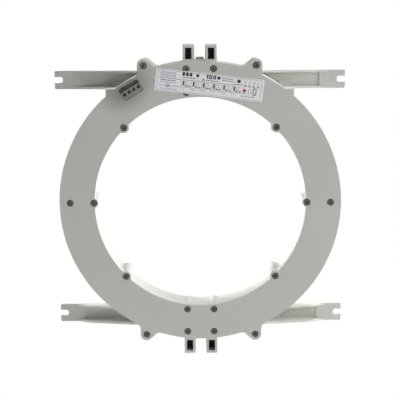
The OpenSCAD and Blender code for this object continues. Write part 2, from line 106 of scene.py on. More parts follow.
class Ink(Enum):
    """The inks of the printed label."""

    GREY = "grey"
    BLACK = "black"
    RED = "red"
    FRAME = "frame"


# ---------------------------------------------------------------- shader groups

def linear(red: int, green: int, blue: int) -> tuple[float, float, float, float]:
    """Colour of a finish from its display values.

    Args:
        red: Display value of red, 0 to 255.
        green: Display value of green, 0 to 255.
        blue: Display value of blue, 0 to 255.

    Returns:
        The linear colour with full alpha.
    """
    def one(value: int) -> float:
        """Linear value of one display channel."""
        v = value / 255
        return v / 12.92 if v <= 0.04045 else ((v + 0.055) / 1.055) ** 2.4

    return one(red), one(green), one(blue), 1.0


@dataclass
class GroupDraft:
    """A shader node group in the making, with named inputs and outputs."""

    name: str
    tree: bpy.types.ShaderNodeTree = field(init=False)
    source: bpy.types.Node = field(init=False)
    sink: bpy.types.Node = field(init=False)

    def __post_init__(self) -> None:
        """Makes the empty tree with its two end nodes."""
        self.tree = bpy.data.node_groups.new(self.name, "ShaderNodeTree")
        self.source = self.tree.nodes.new("NodeGroupInput")
        self.sink = self.tree.nodes.new("NodeGroupOutput")

    def takes(self, name: str, kind: str, default: object) -> None:
        """Adds an input.

        Args:
            name: The input's name.
            kind: Float or Color.
            default: Its value where nothing is linked.
        """
        socket = self.tree.interface.new_socket(name, in_out="INPUT", socket_type=f"NodeSocket{kind}")
        socket.default_value = default

    def gives(self, name: str, kind: str) -> None:
        """Adds an output.

        Args:
            name: The output's name.
            kind: Float or Color.
        """
        self.tree.interface.new_socket(name, in_out="OUTPUT", socket_type=f"NodeSocket{kind}")

    def node(self, kind: str, **values: object) -> bpy.types.Node:
        """Adds a node.

        Args:
            kind: The node's type.
            values: Properties to set on it.

        Returns:
            The new node.
        """
        made = self.tree.nodes.new(kind)
        for key, value in values.items():
            setattr(made, key, value)
        return made

    def link(self, start: bpy.types.NodeSocket, end: bpy.types.NodeSocket) -> None:
        """Joins two sockets."""
        self.tree.links.new(start, end)


def grain_group() -> bpy.types.ShaderNodeTree:
    """Spark-eroded grain of a mould, at a fine and a coarser scale.

    Returns:
        The group: Scale in, Height and Speckle out.
    """
    draft = GroupDraft("mould_grain")
    draft.takes("Scale", "Float", 1500.0)
    draft.gives("Height", "Float")
    draft.gives("Speckle", "Float")
    place = draft.node("ShaderNodeTexCoord")
    fine = draft.node("ShaderNodeTexNoise", noise_dimensions="3D")
    fine.inputs["Detail"].default_value = 3.0
    fine.inputs["Roughness"].default_value = 0.6
    pits = draft.node("ShaderNodeTexVoronoi", feature="F1")
    halved = draft.node("ShaderNodeMath", operation="MULTIPLY")
    halved.inputs[1].default_value = 0.5
    total = draft.node("ShaderNodeMath", operation="MULTIPLY_ADD")
    total.inputs[1].default_value = 0.6
    draft.link(place.outputs["Object"], fine.inputs["Vector"])
    draft.link(place.outputs["Object"], pits.inputs["Vector"])
    draft.link(draft.source.outputs["Scale"], fine.inputs["Scale"])
    draft.link(draft.source.outputs["Scale"], halved.inputs[0])
    draft.link(halved.outputs[0], pits.inputs["Scale"])
    draft.link(fine.outputs["Fac"], total.inputs[0])
    draft.link(pits.outputs["Distance"], total.inputs[2])
    draft.link(total.outputs[0], draft.sink.inputs["Height"])
    draft.link(fine.outputs["Fac"], draft.sink.inputs["Speckle"])
    return draft.tree


def drift_group() -> bpy.types.ShaderNodeTree:
    """Slow change of tone over a surface, as flow and handling leave it.

    Returns:
        The group: Colour, Drift, Scale and Share in, Colour and Mask out.
    """
    draft = GroupDraft("tone_drift")
    draft.takes("Colour", "Color", (0.5, 0.5, 0.5, 1.0))
    draft.takes("Drift", "Color", (0.4, 0.4, 0.4, 1.0))
    draft.takes("Scale", "Float", 20.0)
    draft.takes("Share", "Float", 0.3)
    draft.gives("Colour", "Color")
    draft.gives("Mask", "Float")
    place = draft.node("ShaderNodeTexCoord")
    cloud = draft.node("ShaderNodeTexNoise", noise_dimensions="3D")
    cloud.inputs["Detail"].default_value = 4.0
    cloud.inputs["Distortion"].default_value = 0.4
    spread = draft.node("ShaderNodeMapRange")
    spread.inputs["From Min"].default_value = 0.35
    spread.inputs["From Max"].default_value = 0.65
    amount = draft.node("ShaderNodeMath", operation="MULTIPLY")
    blend = draft.node("ShaderNodeMix", data_type="RGBA")
    draft.link(place.outputs["Object"], cloud.inputs["Vector"])
    draft.link(draft.source.outputs["Scale"], cloud.inputs["Scale"])
    draft.link(cloud.outputs["Fac"], spread.inputs["Value"])
    draft.link(spread.outputs["Result"], amount.inputs[0])
    draft.link(draft.source.outputs["Share"], amount.inputs[1])
    draft.link(amount.outputs[0], blend.inputs["Factor"])
    draft.link(draft.source.outputs["Colour"], blend.inputs[6])
    draft.link(draft.source.outputs["Drift"], blend.inputs[7])
    draft.link(blend.outputs[2], draft.sink.inputs["Colour"])
    draft.link(spread.outputs["Result"], draft.sink.inputs["Mask"])
    return draft.tree


def bands_group() -> bpy.types.ShaderNodeTree:
    """Rings or turns that lie side by side, as in strip, wire and tape.

    Returns:
        The group: Turns and Wobble in, Height and Mask out.
    """
    draft = GroupDraft("side_by_side")
    draft.takes("Turns", "Float", 200.0)
    draft.takes("Wobble", "Float", 0.5)
    draft.gives("Height", "Float")
    draft.gives("Mask", "Float")
    place = draft.node("ShaderNodeTexCoord")
    split = draft.node("ShaderNodeSeparateXYZ")
    angle = draft.node("ShaderNodeMath", operation="ARCTAN2")
    noise = draft.node("ShaderNodeTexNoise", noise_dimensions="3D")
    noise.inputs["Scale"].default_value = 120.0
    shake = draft.node("ShaderNodeMath", operation="MULTIPLY")
    turned = draft.node("ShaderNodeMath", operation="MULTIPLY_ADD")
    wave = draft.node("ShaderNodeMath", operation="SINE")
    lift = draft.node("ShaderNodeMapRange")
    lift.inputs["From Min"].default_value = -1.0
    draft.link(place.outputs["Object"], split.inputs[0])
    draft.link(split.outputs["Z"], angle.inputs[0])
    draft.link(split.outputs["X"], angle.inputs[1])
    draft.link(place.outputs["Object"], noise.inputs["Vector"])
    draft.link(noise.outputs["Fac"], shake.inputs[0])
    draft.link(draft.source.outputs["Wobble"], shake.inputs[1])
    draft.link(angle.outputs[0], turned.inputs[0])
    draft.link(draft.source.outputs["Turns"], turned.inputs[1])
    draft.link(shake.outputs[0], turned.inputs[2])
    draft.link(turned.outputs[0], wave.inputs[0])
    draft.link(wave.outputs[0], lift.inputs["Value"])
    draft.link(wave.outputs[0], draft.sink.inputs["Height"])
    draft.link(lift.outputs["Result"], draft.sink.inputs["Mask"])
    return draft.tree


def terminal_shade_group() -> bpy.types.ShaderNodeTree:
    """Soft oval patch of painted shade round a row of terminals.

    Returns:
        The group: Centre, Turn and Reach in, Mask out.
    """
    draft = GroupDraft("painted_terminal_shade")
    draft.takes("Centre", "Vector", (0.0, 0.0, 0.0))
    draft.takes("Turn", "Vector", (0.0, 0.0, 0.0))
    draft.takes("Reach", "Vector", (1.0, 1.0, 1.0))
    draft.gives("Mask", "Float")
    place = draft.node("ShaderNodeTexCoord")
    local = draft.node("ShaderNodeMapping", vector_type="TEXTURE")
    far = draft.node("ShaderNodeVectorMath", operation="LENGTH")
    cloud = draft.node("ShaderNodeTexNoise", noise_dimensions="3D")
    cloud.inputs["Scale"].default_value = 90.0
    ragged = draft.node("ShaderNodeMath", operation="MULTIPLY_ADD")
    ragged.inputs[1].default_value = 0.3
    fade = draft.node("ShaderNodeMapRange", interpolation_type="SMOOTHSTEP")
    fade.inputs["From Min"].default_value = 1.75
    fade.inputs["From Max"].default_value = 0.3
    draft.link(place.outputs["Object"], local.inputs["Vector"])
    draft.link(draft.source.outputs["Centre"], local.inputs["Location"])
    draft.link(draft.source.outputs["Turn"], local.inputs["Rotation"])
    draft.link(draft.source.outputs["Reach"], local.inputs["Scale"])
    draft.link(local.outputs["Vector"], far.inputs[0])
    draft.link(place.outputs["Object"], cloud.inputs["Vector"])
    draft.link(cloud.outputs["Fac"], ragged.inputs[0])
    draft.link(far.outputs["Value"], ragged.inputs[2])
    draft.link(ragged.outputs[0], fade.inputs["Value"])
    draft.link(fade.outputs["Result"], draft.sink.inputs["Mask"])
    return draft.tree


@dataclass(frozen=True)
class Effects:
    """The shader groups that the finishes share."""

    grain: bpy.types.ShaderNodeTree
    drift: bpy.types.ShaderNodeTree
    bands: bpy.types.ShaderNodeTree
    terminal_shade: bpy.types.ShaderNodeTree

    @classmethod
    def build(cls) -> "Effects":
        """Builds each group once."""
        return cls(grain_group(), drift_group(), bands_group(), terminal_shade_group())


# Brightness of the darkest painted shade, as a share of the clean colour.
TERMINAL_SHADE_DEPTH = 0.12


@dataclass(frozen=True)
class ShadePatch:
    """Where painted shade darkens a surface.

    Attributes:
        centre: Its middle, in metres.
        turn: Its turn about each axis, in radians.
        reach: Its half lengths along its own axes, in metres.
        share: How dark its middle is, 0 to 1.
        OUTWARD: From the terminals' middle to the patch's, away from the ring's axis, in metres.
        ALONG: The same along the row.
    """

    OUTWARD: ClassVar[float] = 6.5 * MM
    ALONG: ClassVar[float] = 3.0 * MM

    centre: tuple[float, float, float]
    turn: tuple[float, float, float]
    reach: tuple[float, float, float]
    share: float

    @classmethod
    def at_terminals(cls, reach: tuple[float, float, float], share: float) -> "ShadePatch":
        """A patch of painted shade round the terminal row, long in the row's direction.

        Args:
            reach: Its half lengths outward, backward and along the row, in metres.
            share: How dark its middle is.
        """
        low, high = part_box("terminal_block")
        middle = (low + high) / 2
        outward = Vector((middle.x, 0.0, middle.z)).normalized()
        along = Vector((-outward.z, 0.0, outward.x))
        spot = middle + outward * cls.OUTWARD + along * cls.ALONG
        turn = -math.atan2(outward.z, outward.x)
        return cls((spot.x, low.y, spot.z), (0.0, turn, 0.0), reach, share)


# ---------------------------------------------------------------- finishes

@dataclass(frozen=True)
class Finish:
    """A surface finish: a colour that drifts, a grain and a gloss.

    Attributes:
        name: The finish's name.
        colour: Its main colour.
        drift: The colour that it drifts to.
        share: How far it drifts, 0 to 1.
        drift_scale: Clouds for each metre.
        roughness: Roughness of the smooth places.
        roughness_spread: Added roughness of the rough places.
        grain_scale: Grains for each metre.
        grain_height: Height of the grain, in metres.
        metallic: 1 for bare metal.
        specular: Specular level.
        coat: Weight of a clear coat.
        turns: Turns round the ring, or 0 for none.
        turn_height: Height of the turns, in metres.
    """

    name: str
    colour: tuple[float, float, float, float]
    drift: tuple[float, float, float, float]
    share: float = 0.3
    drift_scale: float = 25.0
    roughness: float = 0.5
    roughness_spread: float = 0.1
    grain_scale: float = 1500.0
    grain_height: float = 0.00002
    metallic: float = 0.0
    specular: float = 0.5
    coat: float = 0.0
    turns: float = 0.0
    turn_height: float = 0.0

    def build(self, effects: Effects, patch: ShadePatch | None = None) -> bpy.types.Material:
        """Makes the material.

        Args:
            effects: The shared shader groups.
            patch: Where painted shade darkens the surface, if anywhere.

        Returns:
            The new material.
        """
        material = bpy.data.materials.new(self.name)
        material.use_nodes = True
        tree = material.node_tree
        shader = tree.nodes["Principled BSDF"]
        shader.inputs["Metallic"].default_value = self.metallic
        shader.inputs["Specular IOR Level"].default_value = self.specular
        shader.inputs["Coat Weight"].default_value = self.coat
        tone = self._group(tree, effects.drift)
        tone.inputs["Colour"].default_value = self.colour
        tone.inputs["Drift"].default_value = self.drift
        tone.inputs["Scale"].default_value = self.drift_scale
        tone.inputs["Share"].default_value = self.share
        grain = self._group(tree, effects.grain)
        grain.inputs["Scale"].default_value = self.grain_scale
        gloss = tree.nodes.new("ShaderNodeMapRange")
        gloss.inputs["To Min"].default_value = self.roughness
        gloss.inputs["To Max"].default_value = self.roughness + self.roughness_spread
        bump = tree.nodes.new("ShaderNodeBump")
        bump.inputs["Distance"].default_value = self.grain_height
        bump.inputs["Strength"].default_value = 1.0
        tree.links.new(grain.outputs["Speckle"], gloss.inputs["Value"])
        tree.links.new(gloss.outputs["Result"], shader.inputs["Roughness"])
        tree.links.new(grain.outputs["Height"], bump.inputs["Height"])
        # Painted shade: a soft dark patch mixed into the base colour, standing in for shadow round the
        # terminals.
        if patch:
            terminal_shade = self._group(tree, effects.terminal_shade)
            for name in ("centre", "turn", "reach"):
                terminal_shade.inputs[name.capitalize()].default_value = getattr(patch, name)
            amount = tree.nodes.new("ShaderNodeMath")
            amount.operation = "MULTIPLY"
            amount.inputs[1].default_value = patch.share
            shaded_colour = tree.nodes.new("ShaderNodeMix")
            shaded_colour.data_type = "RGBA"
            # Among the node's sockets, 6 and 7 take its two colours and 2 gives the result.
            shaded_colour.inputs[7].default_value = [TERMINAL_SHADE_DEPTH * part for part in self.colour[:3]] + [1.0]
            tree.links.new(terminal_shade.outputs["Mask"], amount.inputs[0])
            tree.links.new(amount.outputs[0], shaded_colour.inputs["Factor"])
            tree.links.new(tone.outputs["Colour"], shaded_colour.inputs[6])
            tree.links.new(shaded_colour.outputs[2], shader.inputs["Base Color"])
        else:
            tree.links.new(tone.outputs["Colour"], shader.inputs["Base Color"])
        if self.turns:
            bands = self._group(tree, effects.bands)
            bands.inputs["Turns"].default_value = self.turns
            ridges = tree.nodes.new("ShaderNodeBump")
            ridges.inputs["Distance"].default_value = self.turn_height
            tree.links.new(bands.outputs["Height"], ridges.inputs["Height"])
            tree.links.new(ridges.outputs["Normal"], bump.inputs["Normal"])
        tree.links.new(bump.outputs["Normal"], shader.inputs["Normal"])
        return material

    @staticmethod
    def _group(tree: bpy.types.NodeTree, group: bpy.types.ShaderNodeTree) -> bpy.types.Node:
        """Places a shader group in a material's tree."""
        node = tree.nodes.new("ShaderNodeGroup")
        node.node_tree = group
        return node


SHELL = Finish("shell_grey_plastic", linear(197, 198, 192), linear(188, 189, 182), share=0.35,
               drift_scale=14.0, roughness=0.5, roughness_spread=0.16, grain_scale=1700.0,
               grain_height=0.00003, specular=0.4)
DARK_STEEL = Finish("blackened_steel", linear(112, 112, 109), linear(64, 64, 62), share=0.8,
                    drift_scale=700.0, roughness=0.3, roughness_spread=0.25, grain_scale=5000.0,
                    grain_height=0.00001, metallic=1.0)
# Painted shade: a near-black colour for screw recesses, slots and the rims of cross heads, where shadow
# falls.
RECESS_SHADE_PAINT = Finish("painted_recess_shade", linear(40, 40, 38), linear(24, 24, 23), share=0.7,
                      drift_scale=700.0, roughness=0.6, roughness_spread=0.2, grain_scale=4000.0)
CLAMP_STEEL = Finish("clamp_screw_steel", linear(90, 90, 88), linear(60, 60, 58), share=0.8,
                     drift_scale=900.0, roughness=0.35, roughness_spread=0.25, grain_scale=6000.0,
                     grain_height=0.00001, metallic=1.0)
BLACK_PLASTIC = Finish("black_plastic", linear(24, 24, 23), linear(16, 16, 16), share=0.6,
                       drift_scale=120.0, roughness=0.55, roughness_spread=0.2, grain_scale=2200.0)
CORE_STRIP = Finish("core_strip", linear(150, 152, 156), linear(110, 112, 118), share=0.5,
                    drift_scale=60.0, roughness=0.3, roughness_spread=0.2, grain_scale=4000.0,
                    metallic=1.0)
CASE_PLASTIC = Finish("case_plastic", linear(205, 199, 178), linear(190, 182, 158), share=0.4,
                      drift_scale=30.0, roughness=0.45)
COPPER = Finish("enamelled_copper", linear(196, 118, 72), linear(150, 80, 48), share=0.5,
                drift_scale=90.0, roughness=0.25, metallic=1.0, coat=0.5, turns=900.0,
                turn_height=0.0003)
TAPE = Finish("coil_tape", linear(214, 190, 120), linear(198, 170, 96), share=0.5, drift_scale=60.0,
              roughness=0.25, coat=0.3, turns=36.0, turn_height=0.00008)
FOAM = Finish("foam", linear(46, 46, 46), linear(30, 30, 30), share=0.6, drift_scale=300.0,
              roughness=0.85, grain_scale=900.0, grain_height=0.00015)
BOARD = Finish("solder_mask", linear(38, 96, 60), linear(28, 78, 48), share=0.5, drift_scale=200.0,
               roughness=0.3, coat=0.3)
ZINC = Finish("zinc_plate", linear(196, 197, 194), linear(160, 161, 160), share=0.6,
              drift_scale=400.0, roughness=0.3, roughness_spread=0.2, grain_scale=5000.0,
              metallic=1.0)
BLOCK = Finish("terminal_plastic", linear(190, 191, 185), linear(180, 181, 174), share=0.4,
               drift_scale=90.0, roughness=0.5, grain_scale=2500.0)
FILM = Finish("label_film", linear(238, 239, 240), linear(228, 229, 231), share=0.5,
              drift_scale=40.0, roughness=0.4, roughness_spread=0.1, grain_scale=900.0,
              grain_height=0.00001, coat=0.15)
INKS = {
    Ink.GREY: Finish("ink_grey", linear(58, 58, 62), linear(84, 84, 88), share=0.6,
                     drift_scale=700.0, roughness=0.45),
    Ink.BLACK: Finish("ink_black", linear(22, 22, 24), linear(36, 36, 38), share=0.6,
                      drift_scale=700.0, roughness=0.4),
    Ink.RED: Finish("ink_red", linear(150, 40, 48), linear(172, 66, 70), share=0.6,
                    drift_scale=700.0, roughness=0.4),
    Ink.FRAME: Finish("ink_frame", linear(132, 131, 140), linear(150, 149, 158), share=0.6,
                      drift_scale=500.0, roughness=0.45),
}


# ---------------------------------------------------------------- mesh helpers

def islands(node: bpy.types.Object) -> list[tuple[Vector, Vector]]:
    """Boxes of the separate solids in a CAD node.

    Args:
        node: The CAD node's object.

    Returns:
        The lowest and the highest corner of each solid, in a fixed order.
    """
    mesh = bmesh.new()
    mesh.from_mesh(node.data)
    bmesh.ops.remove_doubles(mesh, verts=mesh.verts, dist=1e-6)
    left = set(mesh.verts)
    boxes = []
    while left:
        start = left.pop()
        stack, seen = [start], {start}
        while stack:
            for edge in stack.pop().link_edges:
                for vert in edge.verts:
                    if vert not in seen:
                        seen.add(vert)
                        stack.append(vert)
        left -= seen
        low = Vector(min(v.co[i] for v in seen) for i in range(3))
        high = Vector(max(v.co[i] for v in seen) for i in range(3))
        boxes.append((low, high))
    mesh.free()
    return sorted(boxes, key=lambda box: (round(box[0].z, 4), round(box[0].x, 4)))


def object_of(name: str, mesh: bmesh.types.BMesh, smooth_angle: float = 40.0) -> bpy.types.Object:
    """Makes an object of a finished bmesh, smooth but for its sharp edges.

    Args:
        name: The object's name.
        mesh: The bmesh, which is freed.
        smooth_angle: Edges sharper than this stay sharp, in degrees.

    Returns:
        The new object, in the scene.
    """
    bmesh.ops.recalc_face_normals(mesh, faces=mesh.faces)
    for face in mesh.faces:
        face.smooth = True
    for edge in mesh.edges:
        if len(edge.link_faces) == 2 and edge.calc_face_angle(0.0) > math.radians(smooth_angle):
            edge.smooth = False
    data = bpy.data.meshes.new(name)
    mesh.to_mesh(data)
    mesh.free()
    made = bpy.data.objects.new(name, data)
    bpy.context.scene.collection.objects.link(made)
    return made


def lathe(mesh: bmesh.types.BMesh, profile: Sequence[tuple[float, float]], steps: int) -> None:
    """Turns a profile about the Z axis into a closed skin.

    Args:
        mesh: The bmesh that gets the skin.
        profile: Radius and height of each point, from one end on the axis to the other.
        steps: Segments round the axis.
    """
    rings = []
    for radius, height in profile:
        if radius < 1e-9:
            rings.append([mesh.verts.new((0.0, 0.0, height))] * steps)
            continue
        rings.append([mesh.verts.new((radius * math.cos(math.tau * i / steps),
                                      radius * math.sin(math.tau * i / steps), height))
                      for i in range(steps)])
    for below, above in zip(rings, rings[1:]):
        for i in range(steps):
            j = (i + 1) % steps
            corners = list(dict.fromkeys((below[i], below[j], above[j], above[i])))
            if len(corners) > 2:
                mesh.faces.new(corners)


def soften(node: bpy.types.Object, width: float, segments: int = 2, angle: float = 35.0) -> None:
    """Rounds the sharp edges of a CAD node for show, without changing its own mesh.

    Args:
        node: The CAD node's object.
        width: Width of the rounding, in metres.
        segments: Faces across the rounding.
        angle: Edges sharper than this are rounded, in degrees.
    """
    weld = node.modifiers.new("weld", "WELD")
    weld.merge_threshold = 1e-6
    bevel = node.modifiers.new("rounding", "BEVEL")
    bevel.width = width
    bevel.segments = segments
    bevel.limit_method = "ANGLE"
    bevel.angle_limit = math.radians(angle)
    bevel.use_clamp_overlap = True
    bevel.harden_normals = True


def dress(piece: bpy.types.Object, *materials: bpy.types.Material) -> None:
    """Gives a piece its materials, of which the first covers it."""
    if piece.data.materials:
        piece.data.materials.clear()
    for material in materials:
        piece.data.materials.append(material)


# ---------------------------------------------------------------- sub-assemblies

@dataclass
class Shells:
    """The two moulded shells and the inserts in their lugs.

    Attributes:
        rounding: Width of the rounded edges, in metres.
    """

    frame: dict
    rounding: float = 0.15 * MM

    def build(self, cover: bpy.types.Material, housing: bpy.types.Material,
              insert: bpy.types.Material) -> None:
        """Dresses the CAD nodes of the shells.

        Args:
            cover: Material of the front shell.
            housing: Material of the rear shell.
            insert: Material of the black inserts.
        """
        nodes = self.frame["nodes"]
        for name, material in (("rear_housing", housing), ("front_cover", cover)):
            dress(nodes[name], material)
            soften(nodes[name], self.rounding)
            LOG.info("%s: moulded plastic", name)
        for name in sorted(n for n in nodes if n.startswith("lug_insert")):
            dress(nodes[name], insert)
            soften(nodes[name], self.rounding)
            LOG.info("%s: black insert", name)


@dataclass
class Screw:
    """A screw drawn along +Z, with its head's top at the origin.

    Attributes:
        head_r: Radius of the head.
        head_h: Height of the head.
        shank_r: Radius of the shank.
        length: Length from the head's top to the tip.
        drive: Kind of recess.
        pitch: Distance between two threads.
        steps: Segments round the axis.
    """

    head_r: float
    head_h: float
    shank_r: float
    length: float
    drive: Drive
    pitch: float
    steps: int = 40

    def profile(self) -> list[tuple[float, float]]:
        """Outline of the screw from its tip to the crown of its head."""
        root = self.shank_r * 0.8
        points = [(0.0, -self.length), (root * 0.55, -self.length), (root, -self.length + self.shank_r)]
        height = -self.length + self.shank_r + self.pitch / 2
        while height < -self.head_h - self.pitch:
            points += [(root, height), (self.shank_r, height + self.pitch * 0.45),
                       (root, height + self.pitch * 0.9)]
            height += self.pitch
        edge = self.head_h * 0.45
        points += [(root, -self.head_h), (self.head_r - edge * 0.4, -self.head_h),
                   (self.head_r, -self.head_h + edge * 0.4)]
        for i in range(5):
            turn = math.pi / 2 * i / 4
            points.append((self.head_r - edge + edge * math.cos(turn), -edge + edge * math.sin(turn)
                           - 0.06 * self.head_h))
        points += [(self.head_r * 0.45, -0.015 * self.head_h), (0.0, 0.0)]
        return points

    def cutter(self) -> bpy.types.Object:
        """The tool that leaves the recess, as an object."""
        mesh = bmesh.new()
        deep, wide = self.head_h * 0.62, self.head_r * 0.27
        reach = self.head_r * (0.6 if self.drive is Drive.CROSS else 1.3)
        low, floor = (0.35, 0.25) if self.drive is Drive.CROSS else (1.0, 0.9)
        for turn in ((0.0, math.pi / 2) if self.drive is Drive.CROSS else (0.0,)):
            corners = []
            for height, share, spread in ((-deep, low, floor), (self.head_h, 1.25, 1.0)):
                for sx, sy in ((-1, -1), (1, -1), (1, 1), (-1, 1)):
                    corner = Vector((sx * reach * share, sy * wide * spread, height))
                    corner.rotate(Matrix.Rotation(turn, 3, "Z"))
                    corners.append(mesh.verts.new(corner))
            for face in ((3, 2, 1, 0), (4, 5, 6, 7), (0, 1, 5, 4), (1, 2, 6, 5), (2, 3, 7, 6), (3, 0, 4, 7)):
                mesh.faces.new([corners[i] for i in face])
        return object_of("recess_tool", mesh)

    def build(self, name: str) -> bpy.types.Mesh:
        """Makes the screw's mesh.

        Args:
            name: Name of the mesh.

        Returns:
            The mesh, with its recess cut.
        """
        mesh = bmesh.new()
        lathe(mesh, self.profile(), self.steps)
        blank = object_of(name, mesh, 50.0)
        tool = self.cutter()
        cut = blank.modifiers.new("recess", "BOOLEAN")
        cut.operation = "DIFFERENCE"
        cut.solver = "EXACT"
        cut.use_self = True
        cut.object = tool
        graph = bpy.context.evaluated_depsgraph_get()
        data = bpy.data.meshes.new_from_object(blank.evaluated_get(graph))
        data.name = name
        bpy.data.objects.remove(blank)
        bpy.data.objects.remove(tool)
        # Faces deep in the recess, and the rim of a cross head, take the second material, which is painted
        # shade.
        for face in data.polygons:
            across = face.center.xy.length / self.head_r
            deep = -face.center.z / self.head_h
            recess = 0.08 < deep < 0.9 and across < 0.7
            rim = deep < 0.9 and across > 0.8 and self.drive is Drive.CROSS
            face.material_index = int(recess or rim)
        return data


def facing_front(spot: Vector, turn: float) -> Matrix:
    """Places a screw with its head towards the front.

    Args:
        spot: Where the head's top centre lies.
        turn: Turn about the screw's axis, in radians.

    Returns:
        The matrix that puts it there.
    """
    upright = Matrix.Rotation(math.pi / 2, 4, "X")
    return Matrix.Translation(spot) @ upright @ Matrix.Rotation(turn, 4, "Z")


@dataclass
class CoverScrews:
    """The screws that hold the cover, one mesh with a separate skin for each.

    Attributes:
        node: The CAD node that they stand for.
        golden: Turn from one screw's recess to the next, in radians.
    """

    frame: dict
    node: str = "cover_screws"
    golden: float = 2.4

    def build(self, steel: bpy.types.Material, shade_in_recesses: bpy.types.Material) -> None:
        """Builds all the screws.

        Args:
            steel: Their finish.
            shade_in_recesses: Painted shade in their recesses and on the heads' edges.
        """
        boxes = islands(self.frame["nodes"][self.node])
        low, high = boxes[0]
        screw = Screw(head_r=(high.x - low.x) / 2, head_h=2.0 * MM, shank_r=1.72 * MM,
                      length=high.y - low.y, drive=Drive.CROSS, pitch=1.3 * MM)
        one = screw.build("screw_blank")
        mesh = bmesh.new()
        for i, (low, high) in enumerate(boxes):
            spot = Vector(((low.x + high.x) / 2, low.y, (low.z + high.z) / 2))
            start = len(mesh.verts)
            mesh.from_mesh(one)
            mesh.verts.ensure_lookup_table()
            bmesh.ops.transform(mesh, matrix=facing_front(spot, self.golden * i),
                                verts=mesh.verts[start:])
        piece = object_of("cover_screw_set", mesh)
        dress(piece, steel, shade_in_recesses)
        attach(piece, "root")
        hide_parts(self.node)
        LOG.info("cover_screw_set: %d screws", len(boxes))


@dataclass
class Terminals:
    """The clamp screws, their cages and the block that holds them.

    Attributes:
        shank_r: Radius of the screws' shanks.
    """

    frame: dict
    shank_r: float = 1.17 * MM

    def build(self, steel: bpy.types.Material, shade_in_recesses: bpy.types.Material, zinc: bpy.types.Material,
              block: bpy.types.Material) -> None:
        """Builds the screws and dresses the rest.

        Args:
            steel: Finish of the screws.
            shade_in_recesses: Painted shade in their slots.
            zinc: Finish of the cages and bars.
            block: Finish of the moulded block.
        """
        nodes = self.frame["nodes"]
        for name in sorted(n for n in nodes if n.startswith("terminal_screw")):
            low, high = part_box(name)
            screw = Screw(head_r=(high.x - low.x) / 2, head_h=1.1 * MM, shank_r=self.shank_r,
                          length=high.y - low.y, drive=Drive.SLOT, pitch=0.45 * MM, steps=32)
            number = int(name[-1])
            data = screw.build(f"clamp_screw_{number}")
            piece = bpy.data.objects.new(f"clamp_screw_{number}", data)
            bpy.context.scene.collection.objects.link(piece)
            spot = Vector(((low.x + high.x) / 2, low.y, (low.z + high.z) / 2))
            piece.data.transform(facing_front(spot, 0.6 + 0.7 * number))
            dress(piece, steel, shade_in_recesses)
            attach(piece, f"screw_{number}")
            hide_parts(name)
            LOG.info("%s: slotted screw", piece.name)
        for name in [n for n in nodes if n.startswith("clamp_cage")] + ["contact_bars"]:
            dress(nodes[name], zinc)
        dress(nodes["terminal_block"], block)
        soften(nodes["terminal_block"], 0.15 * MM)


@dataclass
class Coil:
    """What the closed shells hold: core, windings, pads, board and wires."""

    frame: dict

    def build(self, paint: Callable[[Finish], bpy.types.Material]) -> None:
        """Dresses the inner nodes.

        Args:
            paint: Gives the material of a finish.
        """
        finishes = {
            "core": CORE_STRIP, "core_tray": CASE_PLASTIC, "core_lid": CASE_PLASTIC,
            "secondary_winding": COPPER, "test_winding": COPPER, "insulation_wrap": TAPE,
            "rear_pad": FOAM, "front_pad": FOAM, "circuit_board": BOARD, "board_screws": ZINC,
            "suppressor_diode": BLACK_PLASTIC, "secondary_leads": BLACK_PLASTIC,
            "test_leads": CASE_PLASTIC,
        }
        for name, finish in finishes.items():
            dress(self.frame["nodes"][name], paint(finish))
            LOG.info("%s: %s", name, finish.name)


# Strokes of the plain digits, on a grid two wide and four high.
DIGITS = {
    "0": ((0, 0, 2, 0), (2, 0, 2, 4), (2, 4, 0, 4), (0, 4, 0, 0)),
    "1": ((0.4, 3.2, 1, 4), (1, 4, 1, 0)),
    "2": ((0, 4, 2, 4), (2, 4, 2, 2), (2, 2, 0, 2), (0, 2, 0, 0), (0, 0, 2, 0)),
    "3": ((0, 4, 2, 4), (2, 4, 2, 0), (2, 0, 0, 0), (0.5, 2, 2, 2)),
    "4": ((0, 4, 0, 2), (0, 2, 2, 2), (2, 4, 2, 0)),
    "5": ((2, 4, 0, 4), (0, 4, 0, 2), (0, 2, 2, 2), (2, 2, 2, 0), (2, 0, 0, 0)),
}


